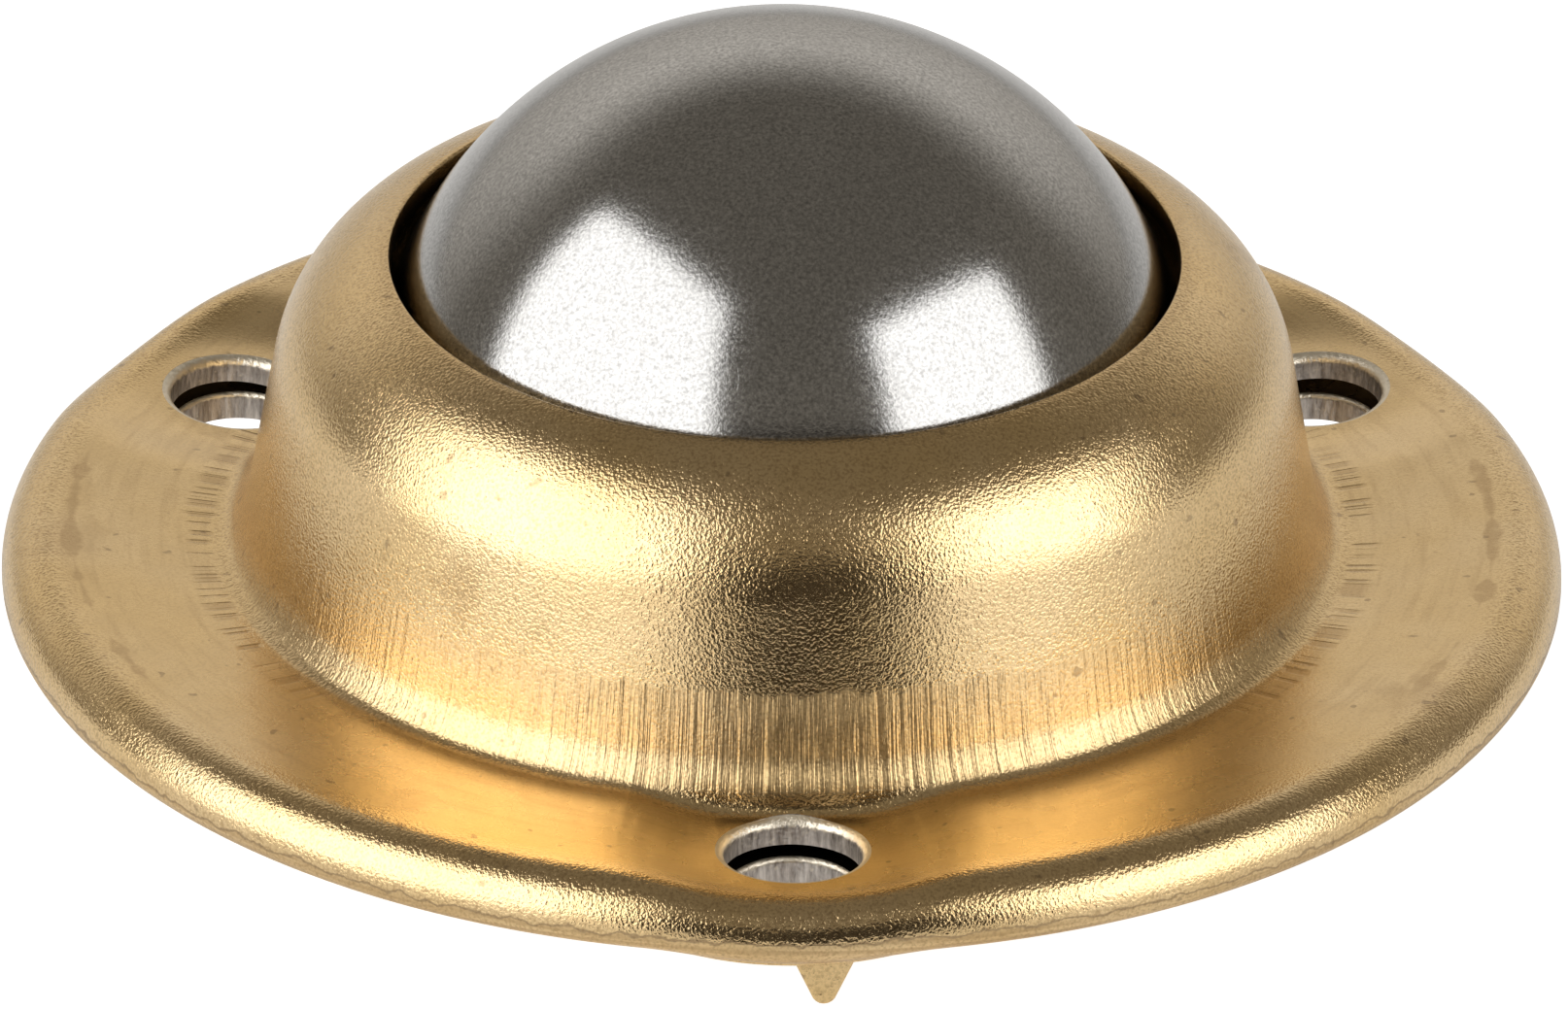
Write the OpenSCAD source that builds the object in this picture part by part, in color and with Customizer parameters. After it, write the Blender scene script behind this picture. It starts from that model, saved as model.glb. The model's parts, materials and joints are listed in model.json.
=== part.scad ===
// Ball transfer unit with a round, screw-down flange.
// A steel load ball rolls in any direction on a nest of small bearing balls. The nest lies in a
// hardened race cup, the race sits in the bowl of a pressed base plate, and a pressed shell
// keeps the load ball in. Millimetres, +Z up. The origin is the centre of the screw circle, on
// the underside of the base plate, which is the mounting face.

/* [Load ball] */
// Diameter of the load ball
ball_d = 38.1; // [36:0.1:40]
// Height of the top of the load ball above the mounting face
ball_top = 27.95; // [27:0.05:29]

/* [Bearing balls] */
// Diameter of each bearing ball
bearing_d = 3.175; // [3:0.005:3.3]
// Clearance between a bearing ball and the load ball, and between it and the race
bearing_clear = 0.05; // [0.03:0.01:0.1]
// Gap between neighbouring bearing balls
bearing_gap = 0.03; // [0.02:0.01:0.1]

/* [Race cup] */
// Wall of the race cup
race_t = 1; // [0.8:0.05:1.1]
// Height of the race's rim above the mounting face
race_rim = 1.8; // [1.4:0.1:2]
// Clearance between the race and the bowl that it sits in
race_seat_clear = 0.05; // [0.03:0.01:0.1]

/* [Base plate] */
// Sheet thickness of the base plate
plate_t = 1.3; // [1.1:0.05:1.4]
// Radius under the plate where it turns down into the bowl
plate_bend = 1; // [0.6:0.1:1.6]
// Depth by which the bend's arcs cross the faces that they join
bend_cross = 0.02; // [0.01:0.01:0.05]
// Clearance between the plate's outer edge and the bore of the rim's skirt
plate_edge_clear = 0.7; // [0.6:0.05:1]
// Diameter of the flat coined on the bottom of the bowl
bowl_flat_d = 10; // [8:0.5:12]
// Height of that flat under the round of the bowl
bowl_flat_drop = 0.1; // [0.1:0.05:0.3]

/* [Shell] */
// Sheet thickness of the shell
shell_t = 1.2; // [1:0.05:1.3]
// Width of the flange, from the top of the dome's wall to the edge of the rim
flange_w = 12.425; // [12:0.025:14]
// Height of the dome's crown above the mounting face
crown_h = 17.8; // [17.2:0.1:18.2]
// Outer radius of the bend that forms the dome
dome_bend = 7.1; // [6.6:0.1:7.6]
// How much the dome's wall flares out, in radius, on its way down to the flange
wall_flare = 1; // [0.8:0.05:1.1]
// Clearance between the dome's wall and the nest of bearing balls
dome_clear = 0.1; // [0.05:0.05:0.3]
// Gap between the load ball and the lip of the dome, at the height of the crown
lip_gap = 1.3; // [1:0.1:1.6]
// Radius of the hollow corner between the dome and the flange
foot_fillet = 1; // [0.8:0.05:1.1]
// How much lower the flange is at the dome than at its rim
flange_dish = 0.6; // [0.4:0.05:0.8]
// Gap between the base plate and the shell's flange, at the dome
flange_gap = 0.4; // [0.25:0.05:0.6]
// Outer radius of the bend between the flange and the rim's skirt
rim_bend = 2; // [1.7:0.1:2.2]
// Height of the skirt's cut edge above the mounting face
rim_lift = 0.45; // [0.3:0.05:0.6]
// Bevel on the skirt's cut edge
rim_bevel = 0.4; // [0.2:0.1:0.5]

/* [Screw holes] */
// Distance from the centre of each screw hole to the edge of the flange
hole_edge = 6.9; // [6.6:0.1:7.2]
// Diameter of the screw holes in the base plate
plate_hole_d = 5.6; // [5:0.1:5.8]
// Extra diameter of the shell's holes over the plate's
hole_step = 0.6; // [0.4:0.1:0.8]
// Bevel at the top edge of the shell's holes
hole_bevel = 0.3; // [0.2:0.05:0.35]

/* [Spurs] */
// Length of each spur below the mounting face
spur_l = 2.7; // [2:0.1:3.2]
// Width of a spur at the plate
spur_w = 3.5; // [3:0.1:4]
// Width of a spur at its tip
spur_tip_w = 0.9; // [0.6:0.1:1.2]
// Distance of the spurs from the plate's edge
spur_inset = 0.3; // [0.2:0.1:0.8]
// Angle from each screw hole to the spur beside it, in degrees
spur_turn = 2; // [0:1:6]

/* [Hidden] */

$fn = 96;
brass = [0.80, 0.66, 0.38];
steel = [0.66, 0.66, 0.67];
dark_steel = [0.50, 0.50, 0.52];

// Nest: concentric spheres about the load ball's centre
ball_r = ball_d / 2;
ball_z = ball_top - ball_r;
bearing_r = bearing_d / 2;
nest_r = ball_r + bearing_clear + bearing_r;
nest_outer_r = nest_r + bearing_r;
race_in_r = nest_outer_r + bearing_clear;
race_out_r = race_in_r + race_t;
bowl_in_r = race_out_r + race_seat_clear;
bowl_out_r = bowl_in_r + plate_t;
bowl_bottom = ball_z - bowl_out_r - bowl_flat_drop;
row_step = 2 * asin((bearing_d + bearing_gap) / 2 / nest_r);

// Screw holes
holes = 3;
hole_turn = 360 / holes;
first_hole = -90;

// Shell: centres of its bends, as [radius, height]
dome_wall_r = um(nest_outer_r + dome_clear + shell_t);
dome_c = [dome_wall_r - dome_bend, crown_h - dome_bend];
root_h = plate_t + flange_gap + shell_t;
flange_h = root_h + flange_dish;
flange_r = dome_wall_r + flange_w;
rim_c = [flange_r - rim_bend, flange_h - rim_bend];
foot_c = [dome_wall_r + wall_flare + foot_fillet, root_h + foot_fillet];
crown_over_centre = crown_h - ball_z;
lip_r = um(sqrt(ball_r * ball_r - crown_over_centre * crown_over_centre) + lip_gap);
hole_circle_r = flange_r - hole_edge;

// Base plate
plate_r = flange_r - shell_t - plate_edge_clear;
bend_reach = bowl_out_r + plate_bend - bend_cross;
bend_drop = plate_bend - bend_cross;
bend_c = [um(sqrt(pow(bend_reach, 2) - pow(ball_z + bend_drop, 2))), -bend_drop];
bend_angle = atan2(ball_z + bend_drop, -bend_c[0]);

// Length rounded to a thousandth of a millimetre, so that faces that should meet do
function um(x) = round(x * 1000) / 1000;

// Point at a radius and an angle
function polar(r, a) = [r * cos(a), r * sin(a)];

// Quarter of a ring in the [radius, height] plane. side is [1, 1] for its upper outer quarter.
module quarter_ring(centre, r_in, r_out, side) {
    translate(centre) intersection() {
        difference() {
            circle(r = r_out);
            circle(r = r_in);
        }
        translate([min(side[0], 0), min(side[1], 0)] * r_out) square(r_out);
    }
}

// Section of the shell, bend by bend from its lip to its rim
module shell_section() {
    // Dome, with the lip punched in it
    intersection() {
        quarter_ring(dome_c, dome_bend - shell_t, dome_bend, [1, 1]);
        translate([lip_r, dome_c[1]]) square(dome_wall_r);
    }
    // Wall
    foot_r = foot_c[0] - foot_fillet;
    polygon([
        [foot_r - shell_t, foot_c[1]], [foot_r, foot_c[1]],
        [dome_wall_r, dome_c[1]], [dome_wall_r - shell_t, dome_c[1]]
    ]);
    // Hollow corner
    quarter_ring(foot_c, foot_fillet, foot_fillet + shell_t, [-1, -1]);
    // Flange
    polygon([
        [foot_c[0], root_h - shell_t], [rim_c[0], flange_h - shell_t],
        [rim_c[0], flange_h], [foot_c[0], root_h]
    ]);
    // Rolled rim
    quarter_ring(rim_c, rim_bend - shell_t, rim_bend, [1, 1]);
    // Skirt of the rim, with its cut edge bevelled
    difference() {
        translate([flange_r - shell_t, rim_lift]) square([shell_t, rim_c[1] - rim_lift]);
        polygon([
            [flange_r - rim_bevel, rim_lift], [flange_r, rim_lift - rim_bevel],
            [flange_r + rim_bevel, rim_lift], [flange_r, rim_lift + rim_bevel]
        ]);
    }
}

// Places its child at each screw hole
module at_holes(turn = 0) {
    for (i = [0 : holes - 1])
        rotate([0, 0, first_hole + i * hole_turn + turn]) children();
}

// Cutter for one shell hole, with its bevel
module shell_hole() {
    r = (plate_hole_d + hole_step) / 2;
    dish_here = flange_dish * (rim_c[0] - hole_circle_r) / (rim_c[0] - foot_c[0]);
    surface_h = um(flange_h - dish_here);
    translate([hole_circle_r, 0, 0]) {
        cylinder(r = r, h = crown_h);
        translate([0, 0, surface_h - hole_bevel])
            cylinder(r1 = r, r2 = r + 2 * hole_bevel, h = 2 * hole_bevel);
    }
}

// Upper half of the housing, drawn from one sheet
module housing_shell() {
    color(brass) difference() {
        rotate_extrude() shell_section();
        at_holes() shell_hole();
    }
}

// Sector of a disc, as a four-sided piece, round the bend between the bowl and the plate
module bend_sector(r) {
    polygon([[0, 0], polar(r, 90), polar(r, (90 + bend_angle) / 2), polar(r, bend_angle)]);
}

// Section of the base plate: bowl with a coined flat, bend and flange
module plate_section() {
    difference() {
        union() {
            intersection() {
                translate([0, ball_z]) circle(r = bowl_out_r);
                translate([0, plate_t - 2 * bowl_out_r]) square(2 * bowl_out_r);
            }
            translate([0, bowl_bottom]) square([bowl_flat_d / 2, plate_t]);
            square([plate_r, plate_t]);
            // Hollow corner under the bend
            translate(bend_c) difference() {
                bend_sector(plate_bend + plate_t / 2);
                circle(r = plate_bend);
            }
        }
        translate([0, ball_z]) circle(r = bowl_in_r);
        // Rounded mouth of the bowl
        translate(bend_c) difference() {
            bend_sector(3 * (plate_bend + plate_t));
            circle(r = plate_bend + plate_t);
        }
    }
}

// Tapered spur, turned down from the sheet near the edge of the plate
module spur() {
    rise = plate_t / 2;
    translate([plate_r - spur_inset - plate_t, 0, 0]) rotate([90, 0, 90])
        linear_extrude(plate_t)
            polygon([
                [-spur_tip_w / 2, -spur_l], [spur_tip_w / 2, -spur_l], [spur_w / 2, 0],
                [spur_w / 2, rise], [-spur_w / 2, rise], [-spur_w / 2, 0]
            ]);
}

// Lower half of the housing: the screwed plate, with the bowl drawn in it
module base_plate() {
    color(brass) difference() {
        union() {
            rotate_extrude() plate_section();
            at_holes(spur_turn) spur();
        }
        at_holes() translate([hole_circle_r, 0, -plate_t])
            cylinder(d = plate_hole_d, h = 3 * plate_t);
    }
}

// Hardened cup that the bearing balls run in
module race_cup() {
    color(dark_steel) intersection() {
        translate([0, 0, ball_z]) difference() {
            sphere(r = race_out_r);
            sphere(r = race_in_r);
        }
        translate([0, 0, race_rim - 2 * race_out_r])
            cylinder(r = 2 * race_out_r, h = 2 * race_out_r);
    }
}

// Ball that carries the load
module load_ball() {
    color(steel) translate([0, 0, ball_z]) sphere(r = ball_r);
}

// One ring of bearing balls, counted from the single ball at the bottom of the nest
module bearing_balls_row(row) {
    tilt = row * row_step;
    ring_r = nest_r * sin(tilt);
    count = row == 0 ? 1 : floor(180 / asin((bearing_d + bearing_gap) / 2 / ring_r));
    color(steel) for (i = [0 : count - 1])
        rotate([0, 0, i * 360 / count])
            translate([ring_r, 0, ball_z - nest_r * cos(tilt)])
                sphere(r = bearing_r, $fn = 32);
}

housing_shell();
base_plate();
race_cup();
load_ball();
bearing_balls_row(0);  // bearing_balls_row_0
bearing_balls_row(1);  // bearing_balls_row_1
bearing_balls_row(2);  // bearing_balls_row_2
bearing_balls_row(3);  // bearing_balls_row_3
bearing_balls_row(4);  // bearing_balls_row_4
bearing_balls_row(5);  // bearing_balls_row_5
bearing_balls_row(6);  // bearing_balls_row_6
bearing_balls_row(7);  // bearing_balls_row_7
bearing_balls_row(8);  // bearing_balls_row_8
bearing_balls_row(9);  // bearing_balls_row_9
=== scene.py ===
"""Ball transfer unit: finish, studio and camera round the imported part, in metres.

The shell and the base plate are turned again as finer pressed sheet, inside the boxes of their
solids, and the load ball as a finer sphere. Every surface has a procedural material at its real
scale, worked out from object coordinates, so that it keeps its place when the part moves.
"""

import json
from math import acos, atan2, ceil, cos, degrees, pi, radians, sin, sqrt, tan

import bmesh
import bpy
from mathutils import Matrix, Vector


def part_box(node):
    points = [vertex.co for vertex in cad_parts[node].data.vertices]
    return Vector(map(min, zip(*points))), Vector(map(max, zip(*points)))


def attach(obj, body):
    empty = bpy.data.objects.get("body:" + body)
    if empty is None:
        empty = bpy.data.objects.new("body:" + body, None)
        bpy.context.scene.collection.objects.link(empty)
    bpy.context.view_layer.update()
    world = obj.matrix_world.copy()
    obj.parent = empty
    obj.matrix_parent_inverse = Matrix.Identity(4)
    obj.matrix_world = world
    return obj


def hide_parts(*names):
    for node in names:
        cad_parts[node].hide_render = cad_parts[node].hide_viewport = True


MM = 0.001

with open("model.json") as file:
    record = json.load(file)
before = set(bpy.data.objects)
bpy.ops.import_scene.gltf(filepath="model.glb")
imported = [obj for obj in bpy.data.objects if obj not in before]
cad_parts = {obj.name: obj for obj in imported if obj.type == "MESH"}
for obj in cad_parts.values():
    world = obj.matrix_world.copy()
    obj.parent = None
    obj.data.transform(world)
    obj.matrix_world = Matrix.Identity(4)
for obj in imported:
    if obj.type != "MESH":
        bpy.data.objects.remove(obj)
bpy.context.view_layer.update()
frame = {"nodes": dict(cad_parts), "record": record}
scene = bpy.context.scene
record = frame["record"]
shell_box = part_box("housing_shell")
plate_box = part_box("base_plate")
ball_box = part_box("load_ball")

# Load ball
BALL_R = (ball_box[1].z - ball_box[0].z) / 2
BALL_CENTRE = Vector((0, 0, ball_box[1].z - BALL_R))

# Screw holes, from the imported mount
BOLTS = record["mounts"][0]["dims"]
HOLE_CIRCLE_R = BOLTS["pcd_mm"] / 2 * MM
PLATE_HOLE_R = BOLTS["hole_r_mm"] * MM
SHELL_HOLE_R = PLATE_HOLE_R + 0.3 * MM
SHELL_HOLE_EDGE = 0.45 * MM
PLATE_HOLE_EDGE = 0.26 * MM
HOLE_ANGLES = [-90 + i * 360 / BOLTS["count"] for i in range(BOLTS["count"])]

# Shell, as a bent sheet: angles in degrees, bends measured on the outer face
SHELL_T = 1.2 * MM
FLANGE_R = shell_box[1].x
CROWN_Z = shell_box[1].z
RIM_EDGE_Z = shell_box[0].z
LIP_R = 18.14 * MM
DOME_BEND = 7.1 * MM
DOME_WALL_R = 23.55 * MM
WALL_LEAN = 9.8
HOLLOW_BEND = 3.1 * MM
HOLLOW_LEAN = 39.5
CORNER_BEND = 1.0 * MM
ROOT_Z = 2.93 * MM
FLANGE_Z = 3.5 * MM
FLANGE_SLOPE = 0.073
RIM_BEND = 2.1 * MM
RIM_EDGE_ROUND = 0.8 * MM
CUT_ROUND = 0.12 * MM

# How far each sheet is pressed down at the front, right and left hole, and how far round them
SHELL_SINK = (0.85 * MM, 0.42 * MM, 0.58 * MM)
PLATE_SINK = (0.98 * MM, 0.35 * MM, 0.3 * MM)
SINK_FROM = 4.0 * MM
SINK_TO = 9.0 * MM
SINK_INNER_R = 25.1 * MM
SINK_FULL_R = 25.5 * MM

# Base plate, as a bent sheet
PLATE_T = 1.3 * MM
PLATE_R = plate_box[1].x
BOWL_BOTTOM_Z = plate_box[0].z
BOWL_FLAT_R = 5 * MM
BOWL_FLAT_DROP = 0.1 * MM
PLATE_BEND = 1.0 * MM

# Spurs
SPUR_LENGTH = 3.05 * MM
SPUR_WIDTH = 3.5 * MM
SPUR_TIP_R = 0.58 * MM
SPUR_INSET = 0.3 * MM
SPUR_EDGE_ROUND = 0.18 * MM
SPUR_TURN = 2.3

# Fineness of the meshes: steps round a turned piece and a hole, squares along the ball's cube
SEGMENTS = 360
HOLE_SEGMENTS = 128
BALL_SQUARES = 72


# ---- Sections ----------------------------------------------------------------------------

def along(angle):
    """Unit vector at an angle in degrees, in the (radius, height) plane of a section."""
    return Vector((cos(radians(angle)), sin(radians(angle))))


def bend(centre, radius, start, end, step=4):
    """(point, normal) pairs round a bend. A negative radius is a hollow corner."""
    count = max(2, ceil(abs(end - start) / step))
    side = 1 if radius > 0 else -1
    angles = [start + (end - start) * i / count for i in range(count + 1)]
    return [(centre + abs(radius) * along(a), side * along(a)) for a in angles]


def run(first, last, count):
    """(point, normal) pairs between two pairs of a path, without the two themselves."""
    shares = [i / count for i in range(1, count)]
    return [(first[0].lerp(last[0], s), first[1].lerp(last[1], s)) for s in shares]


def wall_foot(wall_top):
    """Hollow bend at the foot of the leaning wall, and the centre of the corner under it."""
    low, high = sin(radians(WALL_LEAN)), sin(radians(HOLLOW_LEAN))
    foot_z = ROOT_Z + CORNER_BEND * (1 - high) + HOLLOW_BEND * (high - low)
    down = along(WALL_LEAN - 90)
    wall_end = wall_top + (foot_z - wall_top.y) / down.y * down
    hollow_c = wall_end + HOLLOW_BEND * along(WALL_LEAN)
    hollow = bend(hollow_c, -HOLLOW_BEND, 180 + WALL_LEAN, 180 + HOLLOW_LEAN)
    return hollow, hollow[-1][0] + CORNER_BEND * along(HOLLOW_LEAN)


def shell_path():
    """Outer face of the shell, from its lip over the dome and the flange to its skirt."""
    dome_c = Vector((DOME_WALL_R - DOME_BEND, CROWN_Z - DOME_BEND))
    rim_c = Vector((FLANGE_R - RIM_BEND, FLANGE_Z - RIM_BEND))
    lip_angle = degrees(acos((LIP_R + CUT_ROUND - dome_c.x) / DOME_BEND))
    dome = bend(dome_c, DOME_BEND, lip_angle, WALL_LEAN, 3)
    hollow, corner_c = wall_foot(dome[-1][0])
    rise = degrees(atan2(FLANGE_Z - ROOT_Z, rim_c.x - corner_c.x))
    corner = bend(corner_c, -CORNER_BEND, 180 + HOLLOW_LEAN, 270 + rise, 6)[1:]
    rim = bend(rim_c, RIM_BEND, 90 + rise, 0)
    return (
        dome + run(dome[-1], hollow[0], 12) + hollow + corner
        + run(corner[-1], rim[0], 24) + rim
    )


def plate_path():
    """Underside of the base plate, from the flat on its bowl to the edge of its flange."""
    bowl_c = Vector((0, BALL_CENTRE.z))
    bowl_r = BALL_CENTRE.z - BOWL_BOTTOM_Z - BOWL_FLAT_DROP
    drop = bowl_c.y + PLATE_BEND
    bend_c = Vector((sqrt((bowl_r + PLATE_BEND) ** 2 - drop ** 2), -PLATE_BEND))
    bend_angle = degrees(atan2(-drop, bend_c.x))
    flat_angle = -degrees(acos(BOWL_FLAT_R / bowl_r))
    flat = [(Vector((r, BOWL_BOTTOM_Z)), Vector((0, -1))) for r in (0, BOWL_FLAT_R)]
    bowl = bend(bowl_c, bowl_r, flat_angle, bend_angle, 2)
    hollow = bend(bend_c, -PLATE_BEND, 180 + bend_angle, 90, 8)
    edge = (Vector((PLATE_R - CUT_ROUND, 0)), Vector((0, -1)))
    return flat + bowl + hollow + run(hollow[-1], edge, 12) + [edge]


def points(pairs):
    """The points of a path, without its normals."""
    return [point for point, _ in pairs]


def offset(path, depth):
    """The points of a path, moved into the sheet."""
    return [point - depth * normal for point, normal in path]


def shell_section():
    """Closed outline of the shell's sheet, with its cut edges rounded."""
    path = shell_path()
    edge_c = Vector((FLANGE_R - RIM_EDGE_ROUND, RIM_EDGE_Z + RIM_EDGE_ROUND))
    bore_c = Vector((FLANGE_R - SHELL_T + CUT_ROUND, RIM_EDGE_Z + CUT_ROUND))
    rim_edge = bend(edge_c, RIM_EDGE_ROUND, 0, -90, 10)
    rim_bore = bend(bore_c, CUT_ROUND, -90, -180, 30)
    inner = [p for p in offset(path, SHELL_T) if p.x > LIP_R + CUT_ROUND]
    top = path[0][0]
    lip_top_c = Vector((LIP_R + CUT_ROUND, top.y - CUT_ROUND))
    lip_low_c = Vector((LIP_R + CUT_ROUND, inner[0].y + CUT_ROUND))
    lip_top = bend(lip_top_c, CUT_ROUND, 180, 110, 15)
    lip_low = bend(lip_low_c, CUT_ROUND, 270, 180, 30)
    return points(path + rim_edge + rim_bore) + inner[::-1] + points(lip_low + lip_top)


def plate_section():
    """Outline of the base plate's sheet, open on the axis, with its edge rounded."""
    path = plate_path()
    low_c = Vector((PLATE_R - CUT_ROUND, CUT_ROUND))
    top_c = Vector((PLATE_R - CUT_ROUND, PLATE_T - CUT_ROUND))
    edge = bend(low_c, CUT_ROUND, -60, 0, 30) + bend(top_c, CUT_ROUND, 0, 60, 30)
    return points(path + edge) + offset(path, PLATE_T)[::-1]


# ---- Meshes ------------------------------------------------------------------------------

def new_piece(name, bm, materials):
    """Object made from a bmesh, smooth but for its sharp edges."""
    mesh = bpy.data.meshes.new(name)
    bmesh.ops.recalc_face_normals(bm, faces=bm.faces)
    bm.to_mesh(mesh)
    bm.free()
    for material in materials:
        mesh.materials.append(material)
    piece = bpy.data.objects.new(name, mesh)
    scene.collection.objects.link(piece)
    smooth(piece)
    return piece


def smooth(piece, sharp_over=38):
    """Smooth shading, with the edges over an angle kept sharp."""
    piece.data.shade_smooth()
    piece.data.set_sharp_from_angle(angle=radians(sharp_over))


def turn(bm, section, closed, segments):
    """Turns a section round the axis."""
    verts = [bm.verts.new((p.x, 0, p.y)) for p in section]
    ends = zip(verts, verts[1:] + verts[:1]) if closed else zip(verts, verts[1:])
    edges = [bm.edges.new(pair) for pair in ends]
    bmesh.ops.spin(
        bm, geom=verts + edges, axis=(0, 0, 1), cent=(0, 0, 0), steps=segments,
        angle=2 * pi, use_merge=True)
    bmesh.ops.remove_doubles(bm, verts=bm.verts, dist=1e-7)


def turned_piece(name, section, closed, materials):
    """Piece turned from its section."""
    bm = bmesh.new()
    turn(bm, section, closed, SEGMENTS)
    return new_piece(name, bm, materials)


def hole_point(angle):
    """Centre of the screw hole at an angle, on the mounting face."""
    return HOLE_CIRCLE_R * Vector((cos(radians(angle)), sin(radians(angle)), 0))


def drill(piece, section, material, follow=None):
    """Cuts one turned tool through the piece at each screw hole.

    follow(radius) gives how far the tool's flare is raised at a radius from the unit's axis.
    """
    bm = bmesh.new()
    for angle in HOLE_ANGLES:
        tool = bmesh.new()
        turn(tool, section, False, HOLE_SEGMENTS)
        bmesh.ops.translate(tool, verts=tool.verts, vec=hole_point(angle))
        if follow:
            for vert in tool.verts:
                if vert.co.z > 0:
                    vert.co.z += follow(vert.co.xy.length)
        part = bpy.data.meshes.new("tool")
        tool.to_mesh(part)
        tool.free()
        bm.from_mesh(part)
        bpy.data.meshes.remove(part)
    tools = new_piece("tools", bm, [material])
    cut = piece.modifiers.new("holes", "BOOLEAN")
    cut.operation = "DIFFERENCE"
    cut.solver = "EXACT"
    cut.material_mode = "TRANSFER"
    cut.object = tools
    bpy.context.view_layer.update()
    drilled = piece.evaluated_get(bpy.context.evaluated_depsgraph_get())
    mesh = bpy.data.meshes.new_from_object(drilled)
    piece.modifiers.clear()
    piece.data = mesh
    bpy.data.objects.remove(tools)
    smooth(piece)


def flange_rise(radius):
    """Height of the shell's face at a radius, over its height at the screw holes."""
    wall_top = Vector((DOME_WALL_R, CROWN_Z)) + DOME_BEND * (along(WALL_LEAN) - Vector((1, 1)))
    into_corner = max(0, wall_foot(wall_top)[1].x - radius) / CORNER_BEND
    corner_rise = CORNER_BEND * (1 - sqrt(1 - min(0.95, into_corner) ** 2))
    return (radius - HOLE_CIRCLE_R) * FLANGE_SLOPE + corner_rise


def hole_tool(radius, edge, surface):
    """Section of a drill that rounds the top edge of its hole, in a face at a height."""
    flare = points(bend(Vector((radius + edge, surface - edge)), -edge, 180, 94, 12))
    base, top = -1 * MM, surface + 2 * MM
    return [
        Vector((0, base)), Vector((radius, base)), *flare, Vector((flare[-1].x, top)),
        Vector((0, top)),
    ]


def ease(value, low, high):
    """0 at low and 1 at high, with soft ends."""
    share = min(1, max(0, (value - low) / (high - low)))
    return share * share * (3 - 2 * share)


def sink_at_holes(piece, depths):
    """Presses the sheet down round each screw hole, but not where it meets the dome."""
    for vert in piece.data.vertices:
        share = ease(vert.co.xy.length, SINK_INNER_R, SINK_FULL_R)
        for angle, depth in zip(HOLE_ANGLES, depths):
            away = (vert.co.xy - hole_point(angle).xy).length
            vert.co.z -= depth * share * (1 - ease(away, SINK_FROM, SINK_TO))
    piece.data.update()


def make_shell(plating, cut_steel):
    """Upper half of the housing."""
    shell = turned_piece("pressed_shell", shell_section(), True, [plating, cut_steel])
    surface = FLANGE_Z - (FLANGE_R - RIM_BEND - HOLE_CIRCLE_R) * FLANGE_SLOPE
    drill(shell, hole_tool(SHELL_HOLE_R, SHELL_HOLE_EDGE, surface), cut_steel, flange_rise)
    sink_at_holes(shell, SHELL_SINK)
    return shell


def make_plate(plating, cut_steel):
    """Lower half of the housing, with its spurs."""
    plate = turned_piece("pressed_plate", plate_section(), False, [plating, cut_steel])
    drill(plate, hole_tool(PLATE_HOLE_R, PLATE_HOLE_EDGE, PLATE_T), cut_steel)
    sink_at_holes(plate, PLATE_SINK)
    return plate


def make_spurs(plating):
    """Three tapered spurs turned down from the plate's edge."""
    bm = bmesh.new()
    rise = PLATE_T / 2
    half = SPUR_WIDTH / 2
    tip = [SPUR_TIP_R * along(a) for a in range(-150, -29, 20)]
    outline = [(p.x, p.y - SPUR_LENGTH + SPUR_TIP_R) for p in tip]
    outline += [(half, 0), (half, rise), (-half, rise), (-half, 0)]
    inner = PLATE_R - SPUR_INSET - PLATE_T
    for angle in HOLE_ANGLES:
        face = bm.faces.new([bm.verts.new((inner, y, z)) for y, z in outline])
        made = bmesh.ops.extrude_face_region(bm, geom=[face])["geom"]
        grown = [v for v in made if isinstance(v, bmesh.types.BMVert)]
        bmesh.ops.translate(bm, verts=grown, vec=(PLATE_T, 0, 0))
        spin = Matrix.Rotation(radians(angle + SPUR_TURN), 3, "Z")
        bmesh.ops.rotate(bm, verts=list(face.verts) + grown, cent=(0, 0, 0), matrix=spin)
    spurs = new_piece("plate_spurs", bm, [plating])
    edges = spurs.modifiers.new("edges", "BEVEL")
    edges.width = SPUR_EDGE_ROUND
    edges.segments = 4
    return spurs


def make_ball(steel):
    """Load ball, as an even sphere of squares."""
    bm = bmesh.new()
    bmesh.ops.create_cube(bm, size=2)
    bmesh.ops.subdivide_edges(bm, edges=bm.edges[:], cuts=BALL_SQUARES - 1, use_grid_fill=True)
    for vert in bm.verts:
        direction = Vector(even_step(c) for c in vert.co).normalized()
        vert.co = BALL_CENTRE + BALL_R * direction
    return new_piece("steel_load_ball", bm, [steel])


def even_step(share):
    """Spreads a cube's grid so that its squares come out even on the sphere."""
    return tan(share * pi / 4)


# ---- Nodes -------------------------------------------------------------------------------

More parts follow.
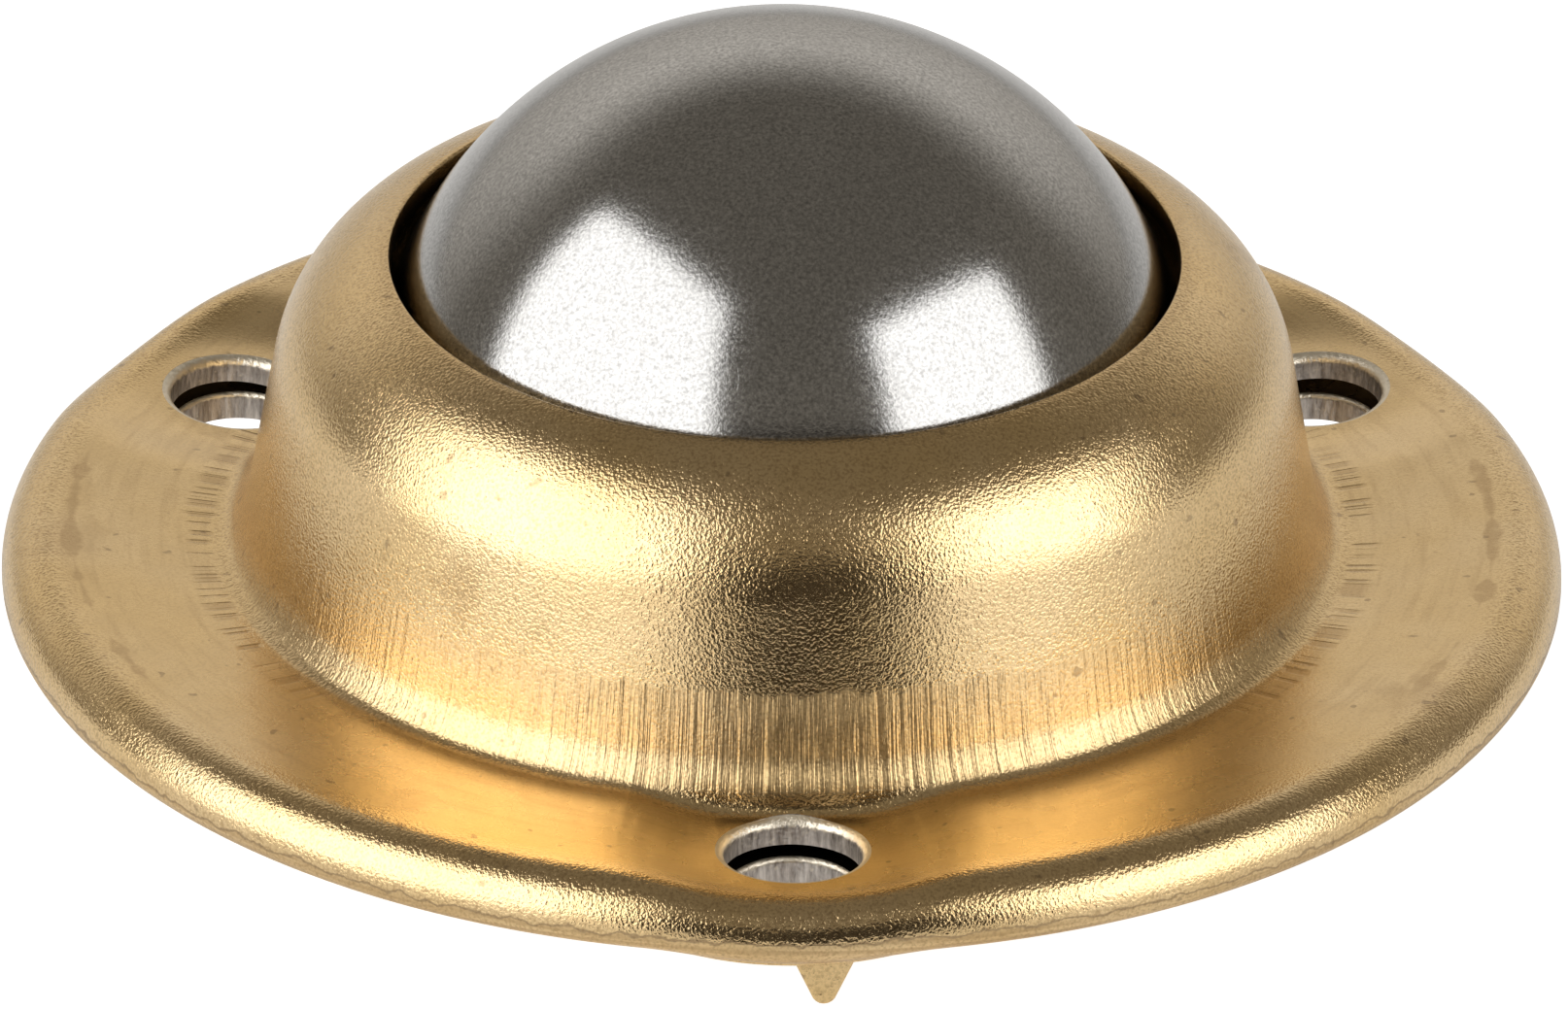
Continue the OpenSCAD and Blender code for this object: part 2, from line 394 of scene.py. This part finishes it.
class Nodes:
    """Short calls that add nodes to a material's or the world's tree."""

    def __init__(self, tree):
        self.tree = tree

    def add(self, kind, links=(), **settings):
        """Adds a node. links sets its sockets to values or to other nodes' outputs."""
        node = self.tree.nodes.new(kind)
        for key, value in settings.items():
            setattr(node, key, value)
        for key, value in dict(links).items():
            self.put(node.inputs[key], value)
        return node

    def put(self, socket, value):
        """Links an output to a socket, or sets its value."""
        if isinstance(value, bpy.types.NodeSocket):
            self.tree.links.new(value, socket)
        else:
            socket.default_value = value

    def math(self, operation, *values):
        """Result of one sum on its values."""
        return self.add("ShaderNodeMath", dict(enumerate(values)), operation=operation).outputs[0]

    def times(self, first, *others):
        """Product of its values."""
        for value in others:
            first = self.math("MULTIPLY", first, value)
        return first

    def vector(self, operation, *values, scale=None):
        """Result of one sum on vectors."""
        node = self.add("ShaderNodeVectorMath", dict(enumerate(values)), operation=operation)
        if scale is not None:
            self.put(node.inputs["Scale"], scale)
        return node.outputs["Value" if operation in ("LENGTH", "DISTANCE") else "Vector"]

    def split(self, vector):
        """X, Y and Z of a vector."""
        return self.add("ShaderNodeSeparateXYZ", {0: vector}).outputs

    def between(self, value, low, high, to_low=0.0, to_high=1.0, soft=False):
        """Maps a value that runs from low to high to one from to_low to to_high."""
        kind = "SMOOTHSTEP" if soft else "LINEAR"
        links = dict(enumerate((value, low, high, to_low, to_high)))
        return self.add("ShaderNodeMapRange", links, interpolation_type=kind).outputs[0]

    def above(self, value, limits):
        """0 under the two limits, 1 over them."""
        return self.between(value, *limits)

    def below(self, value, limits, rest=0):
        """1 under the two limits, rest over them."""
        return self.between(value, *limits, 1, rest)

    def mix(self, share, first, second):
        """Colour mixed from two colours."""
        node = self.add("ShaderNodeMix", {"Factor": share}, data_type="RGBA")
        self.put(node.inputs[6], first)
        self.put(node.inputs[7], second)
        return node.outputs[2]

    def seen(self):
        """1 for rays that show the studio to the camera, straight or by reflection, else 0."""
        path = self.add("ShaderNodeLightPath").outputs
        mirrored = self.math("MAXIMUM", path["Is Glossy Ray"], path["Is Transmission Ray"])
        return self.math("MAXIMUM", path["Is Camera Ray"], mirrored)


class Finish(Nodes):
    """A Principled material on object coordinates in millimetres."""

    def __init__(self, name, **sockets):
        self.material = bpy.data.materials.new(name)
        self.material.use_nodes = True
        super().__init__(self.material.node_tree)
        self.shader = self.tree.nodes["Principled BSDF"]
        for socket, value in sockets.items():
            self.set(socket.replace("_", " "), value)
        place = self.add("ShaderNodeTexCoord").outputs["Object"]
        self.place = self.vector("SCALE", place, scale=1 / MM)

    def set(self, socket, value):
        """Sets a socket of the shader."""
        self.put(self.shader.inputs[socket], value)

    def noise(self, scale, detail=2.0, rough=0.5, place=None, seed=0.0):
        """Noise with this many features in a millimetre, about 0.5 on average."""
        place = self.vector("ADD", place or self.place, (seed, seed, seed))
        links = {"Vector": place, "Scale": scale, "Detail": detail, "Roughness": rough}
        return self.add("ShaderNodeTexNoise", links).outputs["Fac"]

    def bump(self, height, depth, share=1.0):
        """Adds relief: height from 0 to 1 over a depth in millimetres, where share is 1."""
        links = {"Height": height, "Distance": depth * MM, "Strength": share}
        node = self.add("ShaderNodeBump", links)
        normal = self.shader.inputs["Normal"]
        if normal.links:
            self.put(node.inputs["Normal"], normal.links[0].from_socket)
        self.put(normal, node.outputs[0])


# ---- Materials ---------------------------------------------------------------------------
# Distances are in millimetres. A pair is the two limits between which a zone fades in or out.

WALL_R = 24.5
FLAT_FROM_R, FLAT_TO_R, FLAT_TOP = (25.6, 26.6), (32.9, 34.0), (4, 5)
SKIRT_FROM_R, SKIRT_TOP = (34.6, 34.9), (1.75, 1.95)
LINES_FROM_Z, LINES_TO_Z, LINES_TO_R = (2.8, 3.3), (7.9, 8.3), (26.0, 26.5)
LINES_FRONT, LINES_AT_SIDES = (9, 19), 0.4
TICKS_FROM_R, TICKS_TO_R, TICKS_BESIDE = (26.6, 26.9), (27.7, 28.2), (17.5, 20.0)
ARC_R, ARC_HALF_WIDTH, ARC_BESIDE = 32.8, 0.55, (19.5, 22.0)
ARC_FROM_Y, ARC_TO_Y = (-14, -12), (4, 7)
# Front of the flange that gets a painted reflection of the wall's gold
GOLDEN_FRONT_Y = (-30, -22)
# Lip zone that gets a painted reflection of the dark ceiling
LIP_TO_R, LIP_FROM_Z = (18.5, 19.1), (16, 17)
# Zone of the painted shade between the two sheets
INSIDE_TO_R, INSIDE_FROM_Z, INSIDE_TO_Z = (34.2, 34.6), (-0.05, 0.1), (2.05, 2.15)

# Centre, size and strength of each brown stain
STAINS = (
    ((-32.9, -1.4, 3.4), 2.4, 0.20), ((-14.8, -18.6, 9.9), 1.8, 0.34),
    ((20.9, 3.5, 15.6), 1.6, 0.26), ((-17.6, -26.4, 3.2), 1.6, 0.20),
    ((28.6, -16.9, 3.4), 2.4, 0.26), ((-25.7, 10.9, 3.1), 1.8, 0.22),
    ((-11.5, -20.3, 8.6), 1.1, 0.24),
)

PALE_BRASS, GOLDEN_BRASS = (0.88, 0.66, 0.365, 1), (0.85, 0.615, 0.305, 1)
# Deeper gold painted on the front flange as a reflection of the wall's gold
FRONT_REFLECTED_BRASS = (0.87, 0.60, 0.22, 1)
BROWN, DARK_BROWN = (0.44, 0.28, 0.13, 1), (0.28, 0.19, 0.11, 1)
# Painted shade between the two sheets
PAINTED_GAP_SHADE = (0.05, 0.04, 0.03, 1)
CUT_DARK, CUT_BRIGHT = (0.24, 0.21, 0.19, 1), (0.72, 0.67, 0.62, 1)
# Painted highlight on the bevels that face up
CUT_BEVEL_HIGHLIGHT = (0.88, 0.80, 0.66, 1)
BALL_DARK, BALL_BRIGHT = (0.28, 0.277, 0.272, 1), (0.64, 0.635, 0.625, 1)
BALL_CLOUD = (0.38, 0.37, 0.355, 1)
RACE_DARK, RACE_BRIGHT = (0.20, 0.19, 0.18, 1), (0.34, 0.33, 0.32, 1)
BEARING_DARK, BEARING_BRIGHT = (0.55, 0.54, 0.53, 1), (0.68, 0.67, 0.66, 1)
FLAG_DARK, FLAG_BRIGHT = (0.05, 0.045, 0.04, 1), (0.08, 0.07, 0.06, 1)
WHITE = (1, 1, 1, 1)


class Plating(Finish):
    """A finish that knows where on the unit a point lies, and gathers its tint in steps."""

    def __init__(self, name, **sockets):
        super().__init__(name, **sockets)
        self.height = self.split(self.place)[2]
        level = self.vector("MULTIPLY", self.place, (1, 1, 0))
        self.radius = self.vector("LENGTH", level)
        ring = self.vector("SCALE", self.vector("NORMALIZE", level), scale=WALL_R)
        upright = self.add("ShaderNodeCombineXYZ", {2: self.height}).outputs[0]
        self.wall_place = self.vector("ADD", ring, upright)
        x, self.wall_y, _ = self.split(self.wall_place)
        self.beside = self.math("ABSOLUTE", x)
        self.tint = None

    def ring(self, stretch):
        """Place moved level onto the wall's ring, and then stretched."""
        return self.vector("MULTIPLY", self.wall_place, stretch)

    def tinge(self, share, colour):
        """Mixes a share of a colour into the tint."""
        self.tint = self.mix(share, self.tint, colour)

    def stain(self, centre, size, strength, uneven):
        """Brown spot that fades out. uneven adds to the distance from its centre."""
        away = self.math("ADD", self.vector("DISTANCE", self.place, centre), uneven)
        spot = self.between(away, 0.4 * size, size, 1, 0, soft=True)
        self.tinge(self.times(spot, strength), BROWN)


def brass_plating():
    """Satin brass-coloured plating: orange peel, draw lines, tool marks and stains."""
    finish = Plating("brass_plating", Metallic=1.0)
    flat, skirt, wall = flange_zone(finish), skirt_zone(finish), wall_zone(finish)
    grain = finish.noise(7.0, 1.5)
    lines = finish.noise(3.1, 3, 0.6, finish.ring((1, 1, 0.03)))
    ticks = tool_ticks(finish)
    sheet_colour(finish, flat, wall, grain, lines, ticks)
    mark_colour(finish)
    edge_colour(finish, skirt)
    finish.set("Base Color", finish.tint)
    worn = finish.between(finish.noise(0.5, 3, seed=3), 0.3, 0.7, 0.16, 0.21)
    for zone, rougher in ((flat, 0.09), (wall, 0.15), (skirt, 0.14)):
        worn = finish.math("ADD", worn, finish.times(zone, rougher))
    finish.set("Roughness", worn)
    brass_relief(finish, flat, skirt, wall, grain, lines, ticks)
    return finish.material


def flange_zone(finish):
    """The flange, from the wall's foot to the bend of its rim."""
    return finish.times(
        finish.above(finish.radius, FLAT_FROM_R), finish.below(finish.radius, FLAT_TO_R),
        finish.below(finish.height, FLAT_TOP))


def skirt_zone(finish):
    """The rim's upright skirt, up to a ragged line."""
    ragged = finish.math("ADD", finish.height, finish.noise(0.9, 4))
    return finish.times(
        finish.above(finish.radius, SKIRT_FROM_R), finish.below(ragged, SKIRT_TOP))


def wall_zone(finish):
    """The wall's foot, where the draw lines show, up to a ragged line. They fade beside it."""
    ragged = finish.noise(1.5, 1, place=finish.ring((1, 1, 0.1)))
    return finish.times(
        finish.below(finish.math("ADD", finish.height, ragged), LINES_TO_Z),
        finish.below(finish.radius, LINES_TO_R), finish.above(finish.height, LINES_FROM_Z),
        finish.below(finish.beside, LINES_FRONT, LINES_AT_SIDES))


def tool_ticks(finish):
    """Short marks across the flange near the wall's foot, at the two sides of the unit."""
    ticks = finish.between(finish.noise(1.9, 2, place=finish.ring((1, 1, 0))), 0.50, 0.60)
    wander = finish.noise(0.5, 2)
    band = finish.math("ADD", finish.radius, wander)
    return finish.times(
        ticks, finish.above(band, TICKS_FROM_R), finish.below(band, TICKS_TO_R),
        finish.above(finish.beside, TICKS_BESIDE), finish.between(wander, 0.2, 0.35))


def rubbed_arcs(finish):
    """Broken brown arcs rubbed into the flange at the two sides, just inside the bead."""
    away = finish.math("ABSOLUTE", finish.math("SUBTRACT", finish.radius, ARC_R))
    broken = finish.noise(0.45, 3, place=finish.ring((1, 1, 0)))
    width = finish.between(broken, 0.38, 0.62, 0, ARC_HALF_WIDTH)
    mottled = finish.between(finish.noise(2.2, 3), 0.3, 0.5, 0.5, 1)
    return finish.times(
        finish.between(finish.math("SUBTRACT", width, away), -0.05, 0.15), mottled,
        finish.above(finish.beside, ARC_BESIDE), finish.above(finish.wall_y, ARC_FROM_Y),
        finish.below(finish.wall_y, ARC_TO_Y))


def sheet_colour(finish, flat, wall, grain, lines, ticks):
    """Pale and golden plating, browner in its lines, pits, streaks and ticks; deeper gold painted
    at the front as a reflection.
    """
    clouds = finish.between(finish.noise(0.14, 3), 0.35, 0.65)
    finish.tint = finish.mix(clouds, PALE_BRASS, GOLDEN_BRASS)
    finish.tinge(finish.times(finish.between(lines, 0.35, 0.56, 0.18, 0), wall), BROWN)
    pits = finish.between(grain, 0.28, 0.56, 0.6, 0)
    finish.tinge(finish.times(pits, finish.between(flat, 0, 1, 1, 0.4)), BROWN)
    brushed = finish.add("ShaderNodeCombineXYZ", {2: finish.radius}).outputs[0]
    brushed = finish.vector("ADD", finish.ring((0.12, 0.12, 0)), brushed)
    streaks = finish.between(finish.noise(1.7, 3, 0.6, brushed), 0.5, 0.3, 0, 0.25)
    finish.tinge(finish.times(streaks, flat), BROWN)
    finish.tinge(finish.times(ticks, 0.42), BROWN)
    # Deeper gold at the front of the flange: a painted reflection of the wall's gold
    front = finish.between(finish.split(finish.place)[1], *GOLDEN_FRONT_Y, 0.6, 0)
    finish.tinge(finish.times(flat, front), FRONT_REFLECTED_BRASS)


def mark_colour(finish):
    """Brown stains, rubbed arcs and dark specks."""
    uneven = finish.between(finish.noise(0.9, 3), 0.3, 0.7, -1, 1)
    for centre, size, strength in STAINS:
        finish.stain(centre, size, strength, uneven)
    finish.tinge(finish.times(rubbed_arcs(finish), 0.45), BROWN)
    finish.tinge(finish.between(finish.noise(1.2, 1, seed=7), 0.72, 0.76, 0, 0.5), DARK_BROWN)


def edge_colour(finish, skirt):
    """Lip browned by a painted reflection, browner skirt, painted shade in the crease over the
    skirt and between the two sheets.
    """
    # Painted reflection of the dark ceiling, browning the lip
    lip = finish.times(
        finish.below(finish.radius, LIP_TO_R), finish.above(finish.height, LIP_FROM_Z))
    finish.tinge(finish.times(lip, 0.2), BROWN)
    rubbed = finish.noise(1.3, 2, 0.6, finish.ring((0.12, 0.12, 3)))
    finish.tinge(finish.times(skirt, finish.between(rubbed, 0.35, 0.65, 0, 0.5)), BROWN)
    # Painted shade in the crease over the skirt, darkest where the skirt zone begins
    finish.tinge(finish.times(skirt, finish.between(skirt, 0.3, 0.95, 1, 0), 1.8), DARK_BROWN)
    # Painted shade between the two sheets, inside the rim
    inside = finish.times(
        finish.below(finish.radius, INSIDE_TO_R), finish.above(finish.height, INSIDE_FROM_Z),
        finish.below(finish.height, INSIDE_TO_Z))
    finish.tinge(finish.times(inside, 0.9), PAINTED_GAP_SHADE)


def brass_relief(finish, flat, skirt, wall, grain, lines, ticks):
    """Orange peel, which is weak on the flange and rubbed off the skirt, and the marks."""
    smooth_by = finish.math("MAXIMUM", finish.times(flat, 0.8), finish.times(wall, 0.4))
    peel = finish.math("SUBTRACT", 1.0, finish.math("MAXIMUM", smooth_by, skirt))
    finish.bump(grain, 0.034, peel)
    finish.bump(lines, 0.11, wall)
    finish.bump(ticks, -0.02)
    finish.bump(finish.noise(1.6, 2, 0.6, finish.ring((0.1, 0.1, 3))), 0.03, skirt)


def cut_steel():
    """Bare grey steel of the punched edges, dragged by the punch, with a painted highlight on the
    bevels that face up.
    """
    finish = Finish("cut_steel", Metallic=1.0)
    drag = finish.noise(4.0, 3, 0.6, finish.vector("MULTIPLY", finish.place, (1, 1, 0.2)))
    grey = finish.mix(finish.between(drag, 0.3, 0.7), CUT_DARK, CUT_BRIGHT)
    upward = finish.split(finish.add("ShaderNodeTexCoord").outputs["Normal"])[2]
    # Paler where the bevels face up: a painted highlight
    bevel = finish.between(finish.math("ADD", upward, finish.noise(3, 2)), 0.65, 0.95)
    finish.set("Base Color", finish.mix(bevel, grey, CUT_BEVEL_HIGHLIGHT))
    finish.set("Roughness", finish.between(drag, 0, 1, 0.34, 0.46))
    finish.bump(drag, 0.06)
    finish.bump(finish.noise(5, 3), 0.03)
    return finish.material


def ball_steel():
    """Satin bearing steel, finely speckled and lightly scratched."""
    finish = Finish("ball_steel", Metallic=1.0)
    grain = finish.noise(6, 3, 0.65)
    tone = finish.mix(finish.between(grain, 0.3, 0.7), BALL_DARK, BALL_BRIGHT)
    clouds = finish.between(finish.noise(0.22, 4, seed=5), 0.3, 0.7, 0, 0.25)
    finish.set("Base Color", finish.mix(clouds, tone, BALL_CLOUD))
    finish.set("Roughness", finish.between(grain, 0.2, 0.8, 0.11, 0.17))
    finish.bump(grain, 0.006)
    drawn_out = finish.vector("MULTIPLY", finish.place, (3.0, 0.25, 0.25))
    scratches = finish.between(finish.noise(1.6, 2, 0.6, drawn_out), 0.70, 0.74)
    finish.bump(scratches, -0.001)
    return finish.material


def race_steel():
    """Dark hardened steel of the race, oiled."""
    finish = Finish("race_steel", Metallic=1.0)
    finish.set("Base Color", finish.mix(finish.noise(0.8, 3), RACE_DARK, RACE_BRIGHT))
    finish.set("Roughness", finish.between(finish.noise(2), 0, 1, 0.3, 0.45))
    finish.bump(finish.noise(9, 2), 0.002)
    return finish.material


def bearing_steel():
    """Bright polished steel of the small bearing balls."""
    finish = Finish("bearing_steel", Metallic=1.0)
    finish.set("Base Color", finish.mix(finish.noise(1.5, 3), BEARING_DARK, BEARING_BRIGHT))
    finish.set("Roughness", finish.between(finish.noise(6), 0, 1, 0.1, 0.2))
    finish.bump(finish.noise(12, 2), 0.001)
    return finish.material


def table_white():
    """White table top, lifted where it is seen or mirrored, with the unit's shadow kept and painted
    shade near it in reflections.
    """
    finish = Finish("table_white", Roughness=0.9, Specular_IOR_Level=0, Emission_Color=WHITE)
    grain = finish.between(finish.noise(0.05, 3), 0, 1, 0.78, 0.80)
    grey = finish.add("ShaderNodeCombineColor", {channel: grain for channel in range(3)})
    finish.set("Base Color", grey.outputs[0])
    straight = finish.add("ShaderNodeLightPath").outputs["Is Camera Ray"]
    # Smaller mirrored lift near and behind the unit: painted shade round the unit in its
    # reflections
    mirrored_lift_shaded_near_unit = finish.between(finish.split(finish.place)[1], -140, -50, 0.64, 0.18, soft=True)
    mirrored = finish.times(finish.seen(), mirrored_lift_shaded_near_unit)
    finish.set("Emission Strength", finish.between(straight, 0, 1, mirrored, 0.82))
    return finish.material


def flag_black():
    """Matt dark board."""
    finish = Finish("flag_black", Roughness=0.9, Specular_IOR_Level=0)
    finish.set("Base Color", finish.mix(finish.noise(0.1, 3), FLAG_DARK, FLAG_BRIGHT))
    return finish.material


# ---- Studio ------------------------------------------------------------------------------

TABLE_HALF = 3

# Softboxes that stand on the table, left and right of the camera. The middle of the top edge,
# the width and the drop to the lower edge are seen from the ball's centre, at a distance of 1.
SOFTBOX_RADIANCE = 2.1
SOFTBOX_AWAY = 0.8
SOFTBOXES = {
    "left_softbox": ((-0.607, -0.205, 1.056), (0.407, -1.004, 0.318), (0.027, -0.335, -1.091)),
    "right_softbox": ((0.681, -0.330, 0.816), (-0.474, -0.674, 0.158), (0.085, -0.261, -0.814)),
}

# Distance in front of the unit, left edge, right edge and top of each flag
FLAGS = ((0.10, -0.030, 0.048, 0.030), (0.50, -0.170, 0.290, 0.235))

ROOM_DIM, ROOM_LIT = (1, 0.90, 0.75), (1, 0.96, 0.90)

CAMERA_LENS = 470
CAMERA_TARGET = Vector((0.08, 0, 4.37)) * MM
CAMERA_AZIMUTH, CAMERA_ELEVATION, CAMERA_ROLL = radians(-91.3), radians(28.1), radians(0.62)
CAMERA_AWAY = 0.944


def make_board(name, corners, material):
    """Flat staged board through its corners."""
    bm = bmesh.new()
    bm.faces.new([bm.verts.new(corner) for corner in corners])
    board = new_piece(name, bm, [material])
    return board


def make_table():
    """White table under the unit."""
    z = BOWL_BOTTOM_Z - 0.02 * MM
    corners = [(x * TABLE_HALF, y * TABLE_HALF, z) for x, y in ((-1, -1), (1, -1), (1, 1), (-1, 1))]
    make_board("table", corners, table_white())


def make_flags():
    """Dark boards in front of the unit, which only its steel mirrors, from any side."""
    low, material = BOWL_BOTTOM_Z, flag_black()
    for number, (away, left, right, top) in enumerate(FLAGS):
        corners = [(left, -away, low), (right, -away, low), (right, -away, top), (left, -away, top)]
        make_board(f"flag_{number}", corners, material).visible_camera = False


def make_world():
    """Warm room, bright low down behind the unit and dark overhead, and white to the camera."""
    world = bpy.data.worlds.new("studio")
    scene.world = world
    world.use_nodes = True
    nodes = Nodes(world.node_tree)
    way = nodes.split(nodes.add("ShaderNodeTexCoord").outputs["Generated"])
    behind = nodes.between(way[1], 0.35, 0.85, soft=True)
    low = nodes.between(way[2], 0.42, 0.80, 1, 0, soft=True)
    wall = nodes.times(behind, low, nodes.between(way[2], 0.0, 0.4, 0.55, 1))
    dim = nodes.vector("SCALE", ROOM_DIM, scale=nodes.between(low, 0, 1, 0.17, 0.20))
    lit = nodes.vector("SCALE", ROOM_LIT, scale=nodes.times(wall, 0.54))
    colour = nodes.vector("ADD", dim, lit)
    straight = nodes.add("ShaderNodeLightPath").outputs["Is Camera Ray"]
    background = world.node_tree.nodes["Background"]
    nodes.put(background.inputs["Color"], nodes.mix(straight, colour, WHITE))


def make_softbox(name, top, across, drop):
    """Softbox hung from the middle of its top edge, its back turned away from the ball."""
    top, across, drop = (Vector(v) for v in (top, across, drop))
    drop = drop - across * (drop.dot(across) / across.length_squared)
    light = bpy.data.lights.new(name, "AREA")
    light.shape = "RECTANGLE"
    light.size = across.length * SOFTBOX_AWAY
    light.size_y = drop.length * SOFTBOX_AWAY
    light.energy = pi * light.size * light.size_y * SOFTBOX_RADIANCE
    centre = top + drop / 2
    back = across.cross(-drop).normalized()
    if back.dot(centre) < 0:
        across, back = -across, -back
    facing = Matrix((across.normalized(), -drop.normalized(), back)).transposed()
    lamp = bpy.data.objects.new(name, light)
    lamp.matrix_world = Matrix.Translation(BALL_CENTRE + centre * SOFTBOX_AWAY) @ facing.to_4x4()
    scene.collection.objects.link(lamp)


def make_lights():
    """The two softboxes."""
    for name, place in SOFTBOXES.items():
        make_softbox(name, *place)


def make_camera():
    """Long lens, looking down on the front hole."""
    data = bpy.data.cameras.new("camera")
    data.sensor_width = 36
    data.lens = CAMERA_LENS
    data.clip_start = 0.01
    level = cos(CAMERA_ELEVATION)
    back = Vector((
        level * cos(CAMERA_AZIMUTH), level * sin(CAMERA_AZIMUTH), sin(CAMERA_ELEVATION)))
    aim = back.to_track_quat("Z", "Y").to_matrix().to_4x4()
    roll = Matrix.Rotation(CAMERA_ROLL, 4, "Z")
    camera = bpy.data.objects.new("camera", data)
    camera.matrix_world = Matrix.Translation(CAMERA_TARGET + CAMERA_AWAY * back) @ aim @ roll
    scene.collection.objects.link(camera)
    scene.camera = camera


# ---- Putting it together -----------------------------------------------------------------

def dress_housing():
    """Shell, plate and spurs stand for the housing's solids."""
    plating, steel = brass_plating(), cut_steel()
    shell = make_shell(plating, steel)
    plate = make_plate(plating, steel)
    spurs = make_spurs(plating)
    for piece in (shell, plate, spurs):
        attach(piece, "housing")
    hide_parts("housing_shell")
    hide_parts("base_plate")


def dress_ball():
    """A finer sphere stands for the load ball."""
    ball = make_ball(ball_steel())
    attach(ball, "ball")
    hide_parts("load_ball")


def dress_inside():
    """The race and the bearing balls keep their solids and get their steels."""
    race, small = race_steel(), bearing_steel()
    for name, node in frame["nodes"].items():
        if name == "race_cup" or name.startswith("bearing_balls"):
            node.data.materials.clear()
            node.data.materials.append(race if name == "race_cup" else small)


scene.view_settings.view_transform = "Standard"
make_camera()
make_world()
make_lights()
make_table()
make_flags()
dress_housing()
dress_ball()
dress_inside()
